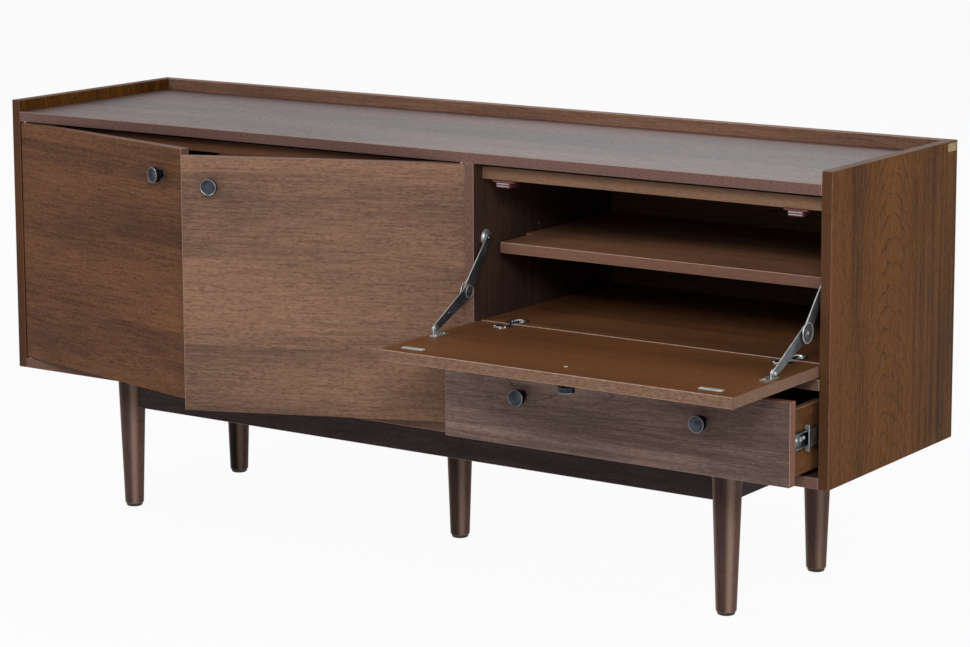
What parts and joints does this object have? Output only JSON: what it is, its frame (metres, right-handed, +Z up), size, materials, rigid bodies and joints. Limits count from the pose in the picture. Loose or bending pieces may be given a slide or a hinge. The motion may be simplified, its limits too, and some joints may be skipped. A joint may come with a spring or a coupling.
{
  "type": "sideboard",
  "caption": "Long wood sideboard on turned legs, with hinged doors, a drop flap on folding stays, a drawer on ball-bearing slides, shelves and a raised rim round its top",
  "frame": {"origin": "on the floor under the middle of the centre leg, which stands at the middle of the case", "axes": "+X along the width, towards the flap and drawer's end; -Y out of the front; +Z up, out of the top"},
  "size_m": [1.7, 0.7085, 0.752],
  "materials": {
    "oak_side": "dark-stained oak veneer with vertical cathedral grain, satin lacquer",
    "oak_top": "dark-stained oak veneer along the width, satin lacquer",
    "oak_front": "dark-stained oak veneer along the width, satin lacquer",
    "oak_inside": "dark-stained oak veneer, matt lacquer",
    "oak_frame": "solid oak stained dark brown, satin lacquer",
    "drawer_wood": "brown-stained solid wood, satin lacquer",
    "gunmetal": "dark grey metallic with a bright rim",
    "zinc": "bright zinc-plated steel",
    "bronze_steel": "nickel-plated steel, slightly warm",
    "magnet_brown": "reddish-brown moulded plastic with steel pole plates"
  },
  "bodies": {
    "carcass": {"side_panel_left": "oak_side", "side_panel_right": "oak_side", "top_panel": "oak_top", "gallery_back_rail": "oak_side", "bottom_panel": "oak_side", "divider": "oak_front", "back_panel": "oak_inside", "upper_rail_left": "oak_front", "upper_rail_right": "oak_front", "drawer_rail": "oak_side", "compartment_floor": "oak_inside", "shelf_left": "oak_inside", "shelf_right": "oak_inside", "front_apron": "oak_frame", "back_apron": "oak_frame", "side_apron_left": "oak_frame", "side_apron_right": "oak_frame", "leg_front_left": "oak_frame", "leg_front_right": "oak_frame", "leg_back_left": "oak_frame", "leg_back_right": "oak_frame", "leg_centre": "oak_frame", "pivot_pin_top_left": "zinc", "pivot_pin_foot_left": "zinc", "pivot_pin_top_right": "zinc", "pivot_pin_foot_right": "zinc", "flap_hinge_arm_left": "zinc", "flap_hinge_arm_right": "zinc", "stay_wall_bracket_left": "bronze_steel", "stay_wall_bracket_right": "bronze_steel", "slide_outer_left": "zinc", "slide_outer_right": "zinc", "catch_doors": "magnet_brown", "catch_flap_left": "magnet_brown", "catch_flap_right": "magnet_brown"},
    "door_left": {"door_panel_left": "oak_front", "knob_door_left": "gunmetal"},
    "door_right": {"door_panel_right": "oak_front", "knob_door_right": "gunmetal"},
    "flap": {"flap_panel": "oak_front", "knob_flap": "gunmetal", "flap_hinge_block_left": "zinc", "flap_hinge_block_right": "zinc", "stay_flap_bracket_left": "bronze_steel", "stay_flap_bracket_right": "bronze_steel"},
    "stay_upper": {"stay_arm_upper_left": "bronze_steel", "stay_arm_upper_right": "bronze_steel"},
    "stay_lower": {"stay_arm_lower_left": "bronze_steel", "stay_arm_lower_right": "bronze_steel"},
    "drawer": {"drawer_front": "oak_front", "drawer_side_left": "drawer_wood", "drawer_side_right": "drawer_wood", "drawer_back": "drawer_wood", "drawer_bottom": "drawer_wood", "knob_drawer_left": "gunmetal", "knob_drawer_right": "gunmetal", "slide_inner_left": "zinc", "slide_inner_right": "zinc"},
    "slide_middle": {"slide_middle_left": "zinc", "slide_middle_right": "zinc"}
  },
  "joints": [
    {"name": "door_left_hinge", "type": "hinge", "parent": "carcass", "child": "door_left", "pos_m": [-0.8235, -0.2135, 0.4905], "axis": [0, 0, -1], "range_deg": [-13.6, 76.4]},
    {"name": "door_right_hinge", "type": "hinge", "parent": "carcass", "child": "door_right", "pos_m": [0.1565, -0.2135, 0.4905], "axis": [0, 0, 1], "range_deg": [-21.7, 68.3]},
    {"name": "flap_hinge", "type": "hinge", "parent": "carcass", "child": "flap", "pos_m": [0.5075, -0.21325, 0.43525], "axis": [-1, 0, 0], "range_deg": [0, 90]},
    {"name": "stay_upper_pivot", "type": "hinge", "parent": "carcass", "child": "stay_upper", "pos_m": [0.5075, -0.185, 0.5845], "axis": [1, 0, 0], "range_deg": [0, 115]},
    {"name": "stay_lower_pivot", "type": "hinge", "parent": "flap", "child": "stay_lower", "pos_m": [0.5075, -0.3465, 0.4565], "axis": [1, 0, 0], "range_deg": [0, 60.2]},
    {"name": "drawer_slide", "type": "slide", "parent": "carcass", "child": "drawer", "axis": [0, -1, 0], "range_m": [-0.088, 0.242]},
    {"name": "slide_middle_run", "type": "slide", "parent": "carcass", "child": "slide_middle", "axis": [0, -1, 0], "range_m": [-0.044, 0.121]}
  ],
  "couplings": [
    {"joint": "stay_upper_pivot", "follows": "flap_hinge", "ratio": 1.2777},
    {"joint": "stay_lower_pivot", "follows": "flap_hinge", "ratio": 0.6684},
    {"joint": "slide_middle_run", "follows": "drawer_slide", "ratio": 0.5}
  ]
}
